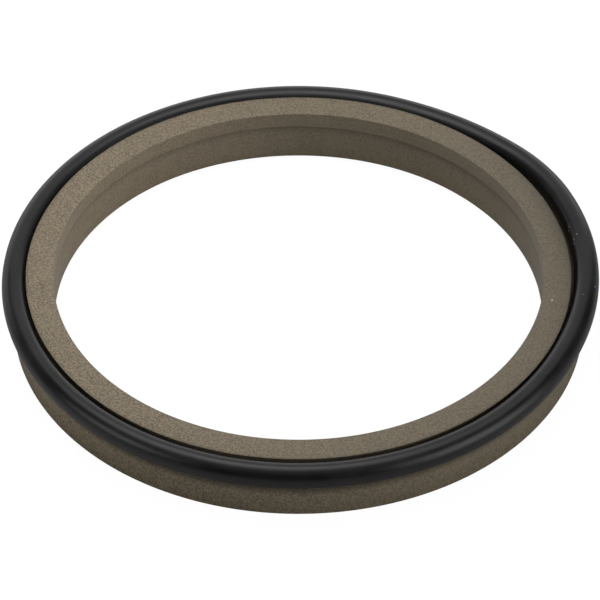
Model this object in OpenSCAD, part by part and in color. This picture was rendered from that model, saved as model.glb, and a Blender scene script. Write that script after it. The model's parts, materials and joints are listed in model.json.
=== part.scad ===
// Double-acting rod wiper: a turned ring of bronze-filled PTFE that scrapes the
// rod, with a black rubber O-ring in a hollow round its outside.
// It lies flat, the scraping side up. The origin is on the bore's axis, in the
// plane of the lower face, and +Z is the bore's axis.

/* [Wiper ring] */
// Diameter of the wiping lip, which is the rod's diameter
rod_d = 50; // [30:0.5:90]
// Radial thickness of the ring, from the lip to the outer land
land_wall = 4.2; // [3.9:0.05:4.8]
// Radial width of the upper face, measured from the lip
face_wall = 2.82; // [2.3:0.02:3]
// Height of the whole ring
ring_h = 6.15; // [5.4:0.05:8]
// Height of the wiping lip below the upper face
lip_h = 1.7; // [0.8:0.1:2.4]
// Radial relief of the bore just below the lip
bore_relief = 0.3; // [0.1:0.05:0.5]
// Lead-in chamfer below the second edge, at the lower end of the bore
bore_chamfer = 0.5; // [0.1:0.05:0.8]
// Broken edges round the upper face and the foot of the land
edge_break = 0.06; // [0.02:0.02:0.2]

/* [O-ring seat] */
// Radius of the hollow round the outside
seat_r = 1.5; // [1.4:0.05:1.7]
// Depth of the hollow's centre below the upper face
seat_depth = 0.88; // [0.6:0.02:1]

/* [O-ring] */
// Section diameter of the rubber
cord_d = 2.55; // [2.2:0.05:2.6]
// Clearance between the rubber and the hollow where it rests
cord_gap = 0.02; // [0.01:0.01:0.1]
// Slope below level at which the rubber rests on the hollow, in degrees
rest_angle = 80; // [30:5:85]

/* [Hidden] */
$fn = 180;
cord_fn = 64;

lip_r = rod_d / 2;
relief_r = lip_r + bore_relief;
face_r = lip_r + face_wall;
land_r = lip_r + land_wall;
lip_z = ring_h - lip_h;

// The hollow's arc runs through the outer edge of the upper face
seat_centre_r = face_r + sqrt(seat_r * seat_r - seat_depth * seat_depth);
seat_centre_z = ring_h - seat_depth;

// The rubber rests on the lower inner slope of the hollow
cord_r = cord_d / 2;
cord_shift = seat_r - cord_r - cord_gap;
cord_centre_r = seat_centre_r - cord_shift * cos(rest_angle);
cord_centre_z = seat_centre_z - cord_shift * sin(rest_angle);

// Section of the turned ring before the hollow is cut. Both edges of the bore stay sharp,
// and the relief between them tapers down from the lip.
module ring_section() {
    polygon([
        [lip_r + bore_chamfer, 0],
        [lip_r, bore_chamfer],
        [relief_r, lip_z - bore_relief],
        [lip_r, lip_z],
        [lip_r, ring_h],
        [land_r, ring_h],
        [land_r, edge_break],
        [land_r - edge_break, 0]
    ]);
}

// Torus that cuts the hollow for the rubber
module seat_cutter() {
    rotate_extrude()
        translate([seat_centre_r, seat_centre_z])
            circle(r = seat_r);
}

// Waste above the hollow, outside the upper face
module shoulder_cutter() {
    rotate_extrude()
        polygon([
            [face_r - edge_break, ring_h],
            [face_r, ring_h - edge_break],
            [seat_centre_r, seat_centre_z],
            [land_r + seat_r, seat_centre_z],
            [land_r + seat_r, ring_h + seat_r],
            [face_r - edge_break, ring_h + seat_r]
        ]);
}

// The turned ring: lip, tapered bore, hollow and outer land
module wiper_ring() {
    color("#7b7263")
        difference() {
            rotate_extrude()
                ring_section();
            seat_cutter();
            shoulder_cutter();
        }
}

// The round rubber ring, which lies loose in the hollow
module o_ring() {
    color("#1d1e20")
        rotate_extrude()
            translate([cord_centre_r, cord_centre_z])
                circle(r = cord_r, $fn = cord_fn);
}

wiper_ring();
o_ring();
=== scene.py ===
import json
import math

import bmesh
import bpy
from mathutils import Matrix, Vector


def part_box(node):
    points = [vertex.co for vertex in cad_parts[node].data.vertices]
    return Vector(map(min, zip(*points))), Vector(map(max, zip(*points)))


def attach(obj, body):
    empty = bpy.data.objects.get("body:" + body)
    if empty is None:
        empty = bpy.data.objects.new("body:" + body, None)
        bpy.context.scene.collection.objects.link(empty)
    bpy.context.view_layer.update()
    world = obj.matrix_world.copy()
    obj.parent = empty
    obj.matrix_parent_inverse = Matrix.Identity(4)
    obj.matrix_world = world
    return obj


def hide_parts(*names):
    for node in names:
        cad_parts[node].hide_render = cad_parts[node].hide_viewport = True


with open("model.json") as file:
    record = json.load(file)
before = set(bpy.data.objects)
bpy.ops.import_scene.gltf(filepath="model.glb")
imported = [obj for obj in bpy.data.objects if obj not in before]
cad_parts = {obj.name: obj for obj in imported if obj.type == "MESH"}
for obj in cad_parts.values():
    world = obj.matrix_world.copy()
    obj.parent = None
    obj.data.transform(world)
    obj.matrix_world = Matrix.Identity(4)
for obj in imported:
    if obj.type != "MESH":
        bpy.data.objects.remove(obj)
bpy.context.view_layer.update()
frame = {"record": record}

# Wiper ring: turned in one piece from a bar of bronze-filled PTFE. The sharp lip at the
# top of its bore scrapes the rod, the bore below tapers down to a second edge, and a
# hollow round the outside carries the rubber.
ring_low, ring_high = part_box("wiper_ring")
lip_mount = next(m for m in frame["record"]["mounts"] if m["name"] == "wiping_lip")
lip_r = lip_mount["dims"]["r_mm"] / 1000
land_r = ring_high.x
ring_foot = ring_low.z
ring_h = ring_high.z
lip_height = 0.0017
bore_relief = 0.0003
bore_chamfer = 0.0005
face_width = 0.00282
hollow_r = 0.0015
hollow_drop = 0.00088
sharp_edge = 0.00002
land_edge = 0.00004
foot_edge = 0.00005
broken_edge = 0.00006
edge_segments = 3
smooth_up_to = math.radians(32)
hollow_steps = 26
turn_steps = 400
start_size = 0.001
weld_gap = 0.000001

lip_z = ring_h - lip_height
relief_r = lip_r + bore_relief
relief_z = lip_z - bore_relief
chamfer_z = ring_foot + bore_chamfer
face_r = lip_r + face_width
hollow_z = ring_h - hollow_drop
hollow_mid_r = face_r + math.sqrt(hollow_r ** 2 - hollow_drop ** 2)
hollow_start = math.atan2(hollow_drop, face_r - hollow_mid_r)
hollow_end = 2 * math.pi - math.acos((land_r - hollow_mid_r) / hollow_r)
land_top = hollow_z + hollow_r * math.sin(hollow_end)


def start_section(name, r, z):
    """A new mesh with one point, at radius r and height z in the plane y = 0."""
    bpy.ops.object.select_all(action="DESELECT")
    bpy.ops.mesh.primitive_plane_add(size=start_size, location=(r, 0, z))
    bpy.ops.object.transform_apply(location=True, rotation=True, scale=True)
    piece = bpy.context.object
    piece.name = name
    bpy.ops.object.mode_set(mode="EDIT")
    bpy.ops.mesh.select_mode(type="VERT")
    bpy.ops.mesh.select_all(action="SELECT")
    bpy.ops.mesh.merge(type="CENTER")
    return piece


def draw_line(from_point, to_point):
    """Extrudes the section's last point along a straight line, given as radius and height."""
    step = (to_point[0] - from_point[0], 0, to_point[1] - from_point[1])
    bpy.ops.mesh.extrude_region_move(TRANSFORM_OT_translate={"value": step})


def close_turned_shape():
    """Joins the seam of a shape spun all the way round and turns its faces outwards."""
    bpy.ops.mesh.select_all(action="SELECT")
    bpy.ops.mesh.remove_doubles(threshold=weld_gap)
    bpy.ops.mesh.normals_make_consistent(inside=False)


def round_corner(piece, r, z, offset):
    """Bevels the edge that runs round the ring at radius r and height z."""
    near = 0.000004
    mesh = bmesh.from_edit_mesh(piece.data)
    bpy.ops.mesh.select_all(action="DESELECT")
    bpy.ops.mesh.select_mode(type="EDGE")
    for edge in mesh.edges:
        at_radius = all(abs(math.hypot(v.co.x, v.co.y) - r) < near for v in edge.verts)
        at_height = all(abs(v.co.z - z) < near for v in edge.verts)
        if at_radius and at_height:
            edge.select_set(True)
    bmesh.update_edit_mesh(piece.data)
    bpy.ops.mesh.bevel(offset=offset, segments=edge_segments, affect="EDGES")


# The section starts at the outer edge of the face. It follows the hollow to the land, goes
# down to the foot, up the bore and back to where it started.
wiper_ring = start_section("wiper_ring_turned", face_r, ring_h)
bpy.ops.mesh.spin(
    steps=hollow_steps,
    angle=hollow_end - hollow_start,
    center=(hollow_mid_r, 0, hollow_z),
    axis=(0, 1, 0),
)
corners = [
    (land_r, land_top),
    (land_r, ring_foot),
    (lip_r + bore_chamfer, ring_foot),
    (lip_r, chamfer_z),
    (relief_r, relief_z),
    (lip_r, lip_z),
    (lip_r, ring_h),
    (face_r, ring_h),
]
for here, there in zip(corners, corners[1:]):
    draw_line(here, there)
bpy.ops.mesh.select_all(action="SELECT")
bpy.ops.mesh.remove_doubles(threshold=weld_gap)
bpy.ops.mesh.spin(steps=turn_steps, angle=2 * math.pi, center=(0, 0, 0), axis=(0, 0, 1))
close_turned_shape()
for r, z, offset in [
    (lip_r, ring_h, sharp_edge),
    (lip_r, lip_z, sharp_edge),
    (face_r, ring_h, broken_edge),
    (land_r, land_top, land_edge),
    (land_r, ring_foot, broken_edge),
    (lip_r + bore_chamfer, ring_foot, foot_edge),
    (lip_r, chamfer_z, sharp_edge),
]:
    round_corner(wiper_ring, r, z, offset)
bpy.ops.object.mode_set(mode="OBJECT")
bpy.ops.object.shade_smooth_by_angle(angle=smooth_up_to)


def new_material(name):
    """A material with its node tree, its shader node and its Object coordinates."""
    material = bpy.data.materials.new(name)
    material.use_nodes = True
    tree = material.node_tree
    shader = tree.nodes["Principled BSDF"]
    place = tree.nodes.new("ShaderNodeTexCoord").outputs["Object"]
    return material, tree, shader, place


def feed(tree, socket, value):
    """Links value to an input if it comes from another node, or else writes it there."""
    if isinstance(value, bpy.types.NodeSocket):
        tree.links.new(value, socket)
    else:
        socket.default_value = value


def noise(tree, place, scale, detail):
    """A noise pattern, with scale in lumps per metre."""
    node = tree.nodes.new("ShaderNodeTexNoise")
    feed(tree, node.inputs["Vector"], place)
    feed(tree, node.inputs["Scale"], scale)
    feed(tree, node.inputs["Detail"], detail)
    return node.outputs["Fac"]


def band(tree, value, low, high, out_low, out_high):
    """Stretches value from low..high to out_low..out_high, and stops at both ends."""
    node = tree.nodes.new("ShaderNodeMapRange")
    feed(tree, node.inputs["Value"], value)
    feed(tree, node.inputs["From Min"], low)
    feed(tree, node.inputs["From Max"], high)
    feed(tree, node.inputs["To Min"], out_low)
    feed(tree, node.inputs["To Max"], out_high)
    return node.outputs["Result"]


def factor_where(tree, mask, factor):
    """A factor that is 1 where the mask is 0, and the given factor where the mask is 1."""
    return band(tree, mask, 0, 1, 1, factor)


def mix_colour(tree, share, first, second):
    """Mixes two colours by a share from 0 to 1."""
    node = tree.nodes.new("ShaderNodeMix")
    node.data_type = "RGBA"
    colours = [socket for socket in node.inputs if socket.type == "RGBA"]
    feed(tree, node.inputs["Factor"], share)
    feed(tree, colours[0], first)
    feed(tree, colours[1], second)
    return next(socket for socket in node.outputs if socket.type == "RGBA")


def combine(tree, operation, values):
    """Combines values, one after the other, by one operation of the Math node."""
    result = values[0]
    for value in values[1:]:
        node = tree.nodes.new("ShaderNodeMath")
        node.operation = operation
        feed(tree, node.inputs[0], result)
        feed(tree, node.inputs[1], value)
        result = node.outputs["Value"]
    return result


def product(tree, *factors):
    """Multiplies values."""
    return combine(tree, "MULTIPLY", factors)


def distance(tree, place, point):
    """How far each place lies from one point."""
    node = tree.nodes.new("ShaderNodeVectorMath")
    node.operation = "DISTANCE"
    feed(tree, node.inputs[0], place)
    feed(tree, node.inputs[1], point)
    return node.outputs["Value"]


def spots(tree, place, points, radius):
    """A mask that is 1 in a small spot round each of the points."""
    masks = [band(tree, distance(tree, place, point), radius / 2, radius, 1, 0) for point in points]
    return combine(tree, "MAXIMUM", masks)


# Colours and shine
ptfe_dark = (0.129, 0.106, 0.072, 1)
ptfe_pale = (0.190, 0.160, 0.109, 1)
# The colour towards -X is painted light: the pale colour as lit more strongly from that side
ptfe_pale_lit = (0.277, 0.222, 0.150, 1)
ptfe_fleck = (0.46, 0.34, 0.18, 1)
ptfe_shine = 0.3
ptfe_rough = (0.5, 0.65)

# Grain, mottle and bronze flecks: the lumps per metre, the detail, and which stretch of each
# noise is used
grain_scale = 4200
grain_detail = 3
grain_tones = (0.40, 0.60)
grain_rough = (0.3, 0.7)
grain_height = 0.00002
grain_strength = 0.3
mottle_scale = 700
mottle_detail = 2
mottle_tones = (0.35, 0.65)
mottle_share = 0.25
fleck_scale = 5200
fleck_detail = 1
fleck_tones = (0.64, 0.72)
fleck_metal = 0.5
# Painted light towards -X: how far from the middle it fades in, and from where its flecks thicken
left_light_reach = 0.030
lit_flecks_from = 0.2
few_flecks = 0.1

# What differs in the bore
bore_speckle = (0.25, 0.75)
bore_flecks = 0.3
bore_rough = 0.7

# Painted shade and light, and a darker patch: where they lie, and by what the tone is
# multiplied there. A border is the width over which a place fades out.
border = 0.0001
fine_border = 0.00002
# Painted shade in the corner under the lip
corner_reach = 0.0008
corner_shade_factor = 0.72
# Painted light and shade in the bore: darker at the back, paler towards both sides
bore_shade_factor = 0.92
bore_light_factor = 1.18
bore_light_reach = 0.018
# Painted shadow of the rubber on the upper part of the land
land_shadow_from = 0.0005
land_shadow_to = 0.0012
land_shadow_dark = 0.45
# A darker patch on the outer side of the face, near the bulge
dark_patch_at = (0.0267, 0.00665, ring_h)
dark_patch_long = 0.019
dark_patch_wide = 0.0022
dark_patch_inner_share = 0.3
dark_patch_factor = 0.5
rim_wide = 0.00035
rim_dark = 0.7

# A speck of lint on the face
lint_white = (0.75, 0.74, 0.70, 1)
lint_places = [(0.02568, -0.00443, ring_h)]
lint_r = 0.0001

bronze_ptfe, tree, shader, place = new_material("bronze_filled_ptfe")
grain = noise(tree, place, grain_scale, grain_detail)
mottle = noise(tree, place, mottle_scale, mottle_detail)
fleck_noise = noise(tree, place, fleck_scale, fleck_detail)

# Where a point lies on the ring: its width along X, its height and its distance from the axis
parts = tree.nodes.new("ShaderNodeSeparateXYZ")
tree.links.new(place, parts.inputs["Vector"])
width = parts.outputs["X"]
height = parts.outputs["Z"]
level = tree.nodes.new("ShaderNodeVectorMath")
level.operation = "MULTIPLY"
level.inputs[1].default_value = (1, 1, 0)
tree.links.new(place, level.inputs[0])
from_axis = tree.nodes.new("ShaderNodeVectorMath")
from_axis.operation = "LENGTH"
tree.links.new(level.outputs["Vector"], from_axis.inputs[0])
radius = from_axis.outputs["Value"]

# Painted light: the ring is paler and more flecked towards -X, as if lit more strongly from
# that side. The bore is turned finer than the outside, so its grain shows less.
left_light_share = band(tree, width, left_light_reach, -left_light_reach, 0, 1)
lighter = mix_colour(tree, left_light_share, ptfe_pale, ptfe_pale_lit)
inward = band(tree, radius, relief_r + border, relief_r + 2 * border, 1, 0)
below_face = band(tree, height, ring_h - 2 * fine_border, ring_h - fine_border, 1, 0)
in_bore = product(tree, inward, below_face)
darkest = band(tree, in_bore, 0, 1, 0, bore_speckle[0])
lightest = band(tree, in_bore, 0, 1, 1, bore_speckle[1])
speckle = band(tree, grain, *grain_tones, darkest, lightest)
tone = mix_colour(tree, speckle, ptfe_dark, lighter)
tone = mix_colour(tree, band(tree, mottle, *mottle_tones, 0, mottle_share), tone, lighter)
fleck_spots = band(tree, fleck_noise, *fleck_tones, 0, 1)
fleck_share = band(tree, left_light_share, lit_flecks_from, 1, few_flecks, 1)
flecks = product(tree, fleck_spots, fleck_share, factor_where(tree, in_bore, bore_flecks))
tone = mix_colour(tree, flecks, tone, ptfe_fleck)

# Painted shade: the corner under the lip is darker, which fades out down the bore. Painted
# light and shade: the lip and the bore are paler towards both sides and darker at the back.
below_lip = band(tree, height, lip_z - 2 * fine_border, lip_z, 1, 0)
in_corner = band(tree, height, relief_z - corner_reach, relief_z, 0, 1)
painted_corner_shade = factor_where(tree, product(tree, in_bore, below_lip, in_corner), corner_shade_factor)
sideways = tree.nodes.new("ShaderNodeMath")
sideways.operation = "ABSOLUTE"
tree.links.new(width, sideways.inputs[0])
inside = band(tree, sideways.outputs["Value"], 0, bore_light_reach, bore_shade_factor, bore_light_factor)
painted_bore_light = factor_where(tree, in_bore, inside)

# Painted shadow: the upper part of the land, under the overhanging rubber, is darker. The
# outer side of the face is darker in one patch, near the bulge.
on_land = band(tree, radius, land_r - 2 * border, land_r - border, 0, 1)
upwards = band(tree, height, land_top - land_shadow_to, land_top - land_shadow_from, 0, 1)
painted_land_shadow = factor_where(tree, product(tree, on_land, upwards), land_shadow_dark)
on_face = band(tree, height, ring_h - border, ring_h - broken_edge, 0, 1)
along = band(tree, distance(tree, place, dark_patch_at), 0, dark_patch_long, 1, 0)
edgewards = band(tree, radius, face_r - dark_patch_wide, face_r, dark_patch_inner_share, 1)
dark_patch = product(tree, along, on_face, edgewards, edgewards)
dark_patch_tone = factor_where(tree, dark_patch, dark_patch_factor)

# The broken outer edge of the face is darker all round
rimwards = band(tree, radius, face_r - rim_wide, face_r, 0, 1)
rim_tone = factor_where(tree, product(tree, on_face, rimwards), rim_dark)

# All these tones together scale the colour, and the lint lies on top of it
shade = tree.nodes.new("ShaderNodeVectorMath")
shade.operation = "SCALE"
tree.links.new(tone, shade.inputs["Vector"])
all_tones = product(tree, painted_corner_shade, painted_bore_light, dark_patch_tone, rim_tone, painted_land_shadow)
tree.links.new(all_tones, shade.inputs["Scale"])
lint = spots(tree, place, lint_places, lint_r)
tone = mix_colour(tree, lint, shade.outputs["Vector"], lint_white)
tree.links.new(tone, shader.inputs["Base Color"])
shader.inputs["Specular IOR Level"].default_value = ptfe_shine
tree.links.new(band(tree, flecks, 0, 1, 0, fleck_metal), shader.inputs["Metallic"])
rough = band(tree, grain, *grain_rough, *ptfe_rough)
rough = product(tree, rough, factor_where(tree, in_bore, bore_rough))
tree.links.new(rough, shader.inputs["Roughness"])
bump = tree.nodes.new("ShaderNodeBump")
bump.inputs["Strength"].default_value = grain_strength
bump.inputs["Distance"].default_value = grain_height
tree.links.new(grain, bump.inputs["Height"])
tree.links.new(bump.outputs["Normal"], shader.inputs["Normal"])
wiper_ring.data.materials.append(bronze_ptfe)

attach(wiper_ring, "root")
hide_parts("wiper_ring")

# O-ring: moulded from black nitrile rubber, of one round section. It lies loose in the
# hollow, and on one side it has been pulled outwards and stands off from the ring.
cord_low, cord_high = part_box("o_ring")
cord_r = (cord_high.z - cord_low.z) / 2
cord_z = (cord_high.z + cord_low.z) / 2
cord_ring_r = cord_high.x - cord_r
bulge_out = 0.00102
bulge_at = math.radians(30)
bulge_crown_r = 0.020
bulge_steep = math.radians(40)
bulge_long = math.radians(75)
section_steps = 48
steps_per_turn = 480

# The bulge is a crown arc between two flank arcs, each tangent to its neighbours
crown_mid_r = cord_ring_r + bulge_out - bulge_crown_r
crown_drop = cord_ring_r - bulge_crown_r


def flank_shift(side):
    """How far past the ring's centre the flank's centre lies, for a flank that ends at side."""
    reach = bulge_out * (bulge_out + 2 * crown_drop)
    return reach / (2 * (crown_drop * (1 - math.cos(side)) - bulge_out * math.cos(side)))


def crown_half(side):
    """Half angle of the crown arc, as far as where the flank on that side takes over."""
    shift = flank_shift(side)
    return math.atan2(shift * math.sin(side), crown_mid_r + shift * math.cos(side))


def spin_cord(angle, middle_r, direction):
    """Carries the rubber's section along an arc whose centre lies at middle_r in direction."""
    bpy.ops.mesh.spin(
        steps=max(2, round(steps_per_turn * angle / (2 * math.pi))),
        angle=angle,
        center=(middle_r * math.cos(direction), middle_r * math.sin(direction), cord_z),
        axis=(0, 0, -1),
    )


# Seen from above, the section is carried anticlockwise from where the bulge ends: along the
# round part, the long flank, the crown and the steep flank
steep_end = bulge_at + bulge_steep
long_end = bulge_at - bulge_long
steep_crown = crown_half(bulge_steep)
long_crown = crown_half(bulge_long)
bpy.ops.object.select_all(action="DESELECT")
bpy.ops.mesh.primitive_circle_add(
    vertices=section_steps,
    radius=cord_r,
    location=(cord_ring_r * math.cos(steep_end), cord_ring_r * math.sin(steep_end), cord_z),
    rotation=(math.pi / 2, 0, steep_end),
)
bpy.ops.object.transform_apply(location=True, rotation=True, scale=True)
o_ring = bpy.context.object
o_ring.name = "o_ring_moulded"
bpy.ops.object.mode_set(mode="EDIT")
bpy.ops.mesh.select_all(action="SELECT")
spin_cord(2 * math.pi - bulge_steep - bulge_long, 0, 0)
spin_cord(bulge_long - long_crown, -flank_shift(bulge_long), long_end)
spin_cord(long_crown + steep_crown, crown_mid_r, bulge_at)
spin_cord(bulge_steep - steep_crown, -flank_shift(bulge_steep), steep_end)
close_turned_shape()

# The slack rubber is a little thicker: at the crown it sags, and where the bulge runs out
# it leans in against the edge of the upper face. At the back it's drawn in and up, against
# the inner side of the hollow. Each row gives the azimuth, the reach along the rubber, and
# by how much it is thicker, further out and higher.
crown_slack = (bulge_at, 0.014, 0.000045, 0, -0.000125)
lean_slack = (math.radians(-20), 0.016, 0.00005, -0.0001, 0.00009)
back_slack = (math.radians(92), 0.026, 0, -0.00014, 0.00012)
mesh = bmesh.from_edit_mesh(o_ring.data)
for azimuth, reach, thicker, outwards, up in [crown_slack, lean_slack, back_slack]:
    bpy.ops.mesh.select_all(action="DESELECT")
    for vert in mesh.verts:
        if abs(math.atan2(vert.co.y, vert.co.x) - azimuth) < math.pi / steps_per_turn:
            vert.select_set(True)
    mesh.select_flush(True)
    bmesh.update_edit_mesh(o_ring.data)
    bpy.ops.transform.shrink_fatten(
        value=thicker,
        use_proportional_edit=True,
        proportional_edit_falloff="SMOOTH",
        proportional_size=reach,
    )
    bpy.ops.transform.translate(
        value=(outwards * math.cos(azimuth), outwards * math.sin(azimuth), up),
        use_proportional_edit=True,
        proportional_edit_falloff="SMOOTH",
        proportional_size=reach,
    )
bpy.ops.object.mode_set(mode="OBJECT")
bpy.ops.object.shade_smooth()

rubber_black = (0.004, 0.004, 0.0044, 1)
rubber_bloom = (0.009, 0.009, 0.0094, 1)
rubber_shine = 0.36
rubber_rough = (0.33, 0.40)
bloom_scale = 260
bloom_detail = 3
bloom_tones = (0.35, 0.7)
bloom_rough = (0.3, 0.7)

# Specks of dust on the upper side of the rubber, along the bulge
dust_grey = (0.26, 0.25, 0.235, 1)
dust_places = [
    (0.02786, 0.00718, 0.00589),
    (0.02784, 0.00673, 0.00575),
    (0.02860, 0.00566, 0.00622),
    (0.02827, 0.00513, 0.00596),
    (0.02828, 0.00449, 0.00588),
    (0.03012, -0.00227, 0.00602),
    (0.02884, -0.00386, 0.00637),
]
dust_r = 0.0001

black_rubber, tree, shader, place = new_material("black_nitrile_rubber")
bloom = noise(tree, place, bloom_scale, bloom_detail)
tone = mix_colour(tree, band(tree, bloom, *bloom_tones, 0, 1), rubber_black, rubber_bloom)
tone = mix_colour(tree, spots(tree, place, dust_places, dust_r), tone, dust_grey)
tree.links.new(tone, shader.inputs["Base Color"])
shader.inputs["Specular IOR Level"].default_value = rubber_shine
tree.links.new(band(tree, bloom, *bloom_rough, *rubber_rough), shader.inputs["Roughness"])
o_ring.data.materials.append(black_rubber)

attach(o_ring, "root")
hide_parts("o_ring")

# Floor: a plain pale table. The camera sees it white, with a faint shadow under the ring,
# and the ring itself sees it as a pale grey.
floor_size = 4
floor_grey = 0.60
floor_white = 1.1
floor_shadow_share = 0.12

bpy.ops.object.select_all(action="DESELECT")
bpy.ops.mesh.primitive_plane_add(size=floor_size, location=(0, 0, 0))
floor = bpy.context.object
floor.name = "floor"
floor_paint = bpy.data.materials.new("floor_paint")
floor_paint.use_nodes = True
tree = floor_paint.node_tree
tree.nodes.remove(tree.nodes["Principled BSDF"])
matt = tree.nodes.new("ShaderNodeBsdfDiffuse")
matt.inputs["Color"].default_value = (floor_grey, floor_grey, floor_grey, 1)
white = tree.nodes.new("ShaderNodeEmission")
white.inputs["Strength"].default_value = floor_white
seen = tree.nodes.new("ShaderNodeLightPath").outputs["Is Camera Ray"]
mixed = tree.nodes.new("ShaderNodeMixShader")
tree.links.new(band(tree, seen, 0, 1, 0, 1 - floor_shadow_share), mixed.inputs["Fac"])
tree.links.new(matt.outputs["BSDF"], mixed.inputs[1])
tree.links.new(white.outputs["Emission"], mixed.inputs[2])
tree.links.new(mixed.outputs["Shader"], tree.nodes["Material Output"].inputs["Surface"])
floor.data.materials.append(floor_paint)

# Studio: softboxes overhead, in front and on the right, with three small ones close to the
# ring's left half, of which one isn't mirrored in the rubber. A grey card and two white ones
# behind give the rubber its highlight there. The camera doesn't see any of them.
centre = (0, 0, 0)
left_middle = (-0.02, 0.03, 0)
left_edge = (-0.04, 0.03, 0)


def softbox(name, place, aim, across, up, brightness):
    """A flat lamp at place, of that width and height in metres, which faces the point aim."""
    light = bpy.data.lights.new(name, "AREA")
    light.shape = "RECTANGLE"
    light.size = across
    light.size_y = up
    light.energy = brightness * math.pi * across * up
    lamp = bpy.data.objects.new(name, light)
    lamp.location = place
    lamp.rotation_euler = (Vector(place) - Vector(aim)).to_track_quat("Z", "Y").to_euler()
    lamp.visible_camera = False
    bpy.context.scene.collection.objects.link(lamp)
    return lamp


softbox("softbox_top", (0, 0.145, 0.582), centre, across=0.64, up=0.39, brightness=1.84)
softbox("softbox_right", (0.508, -0.259, 0.185), centre, across=0.484, up=0.44, brightness=2.78)
softbox("softbox_front", (0, -0.117, 0.221), centre, across=0.29, up=0.106, brightness=0.32)
softbox("softbox_left", (-0.0885, -0.052, 0.042), centre, across=0.055, up=0.04, brightness=2.6)
softbox("softbox_over_left", (-0.02, 0.03, 0.12), left_middle, across=0.08, up=0.06, brightness=2.1)
near_left = softbox(
    "softbox_near_left", (-0.05, 0.05, 0.07), left_edge, across=0.06, up=0.04, brightness=1.38
)
near_left.visible_glossy = False
softbox("grey_card", (0, 0.202, 0.147), centre, across=0.30, up=0.134, brightness=0.60)
softbox("white_card", (0, 0.247, 0.044), centre, across=0.36, up=0.088, brightness=1.50)
softbox("white_card_left", (-0.20, 0.17, 0.044), centre, across=0.12, up=0.088, brightness=1.0)

room_grey = 0.02
world = bpy.data.worlds.new("studio_room")
bpy.context.scene.world = world
world.use_nodes = True
tree = world.node_tree
room = tree.nodes["Background"]
room.inputs["Color"].default_value = (room_grey, room_grey, room_grey, 1)
backdrop = tree.nodes.new("ShaderNodeBackground")
backdrop.inputs["Color"].default_value = (1, 1, 1, 1)
seen = tree.nodes.new("ShaderNodeLightPath").outputs["Is Camera Ray"]
mixed = tree.nodes.new("ShaderNodeMixShader")
tree.links.new(seen, mixed.inputs["Fac"])
tree.links.new(room.outputs["Background"], mixed.inputs[1])
tree.links.new(backdrop.outputs["Background"], mixed.inputs[2])
tree.links.new(mixed.outputs["Shader"], tree.nodes["World Output"].inputs["Surface"])
bpy.context.scene.view_settings.view_transform = "Standard"

# Camera: a long lens that looks down on the ring from the front. The middle of the upper
# face lies a little above the middle of the picture.
camera_distance = 0.525
camera_rise = math.radians(41.5)
camera_lens = 309
camera_sensor = 36
camera_sees_from = 0.01
camera_sees_to = 20
aim_right = 0.00015
aim_down = 0.00295

face_middle = Vector((0, 0, ring_h))
back = Vector((0, -math.cos(camera_rise), math.sin(camera_rise)))
picture_up = Vector((0, math.sin(camera_rise), math.cos(camera_rise)))
camera_data = bpy.data.cameras.new("camera")
camera_data.lens = camera_lens
camera_data.sensor_width = camera_sensor
camera_data.clip_start = camera_sees_from
camera_data.clip_end = camera_sees_to
camera = bpy.data.objects.new("camera", camera_data)
camera.location = face_middle + back * camera_distance
aim = face_middle + Vector((aim_right, 0, 0)) - picture_up * aim_down
camera.rotation_euler = (aim - camera.location).to_track_quat("-Z", "Y").to_euler()
bpy.context.scene.collection.objects.link(camera)
bpy.context.scene.camera = camera
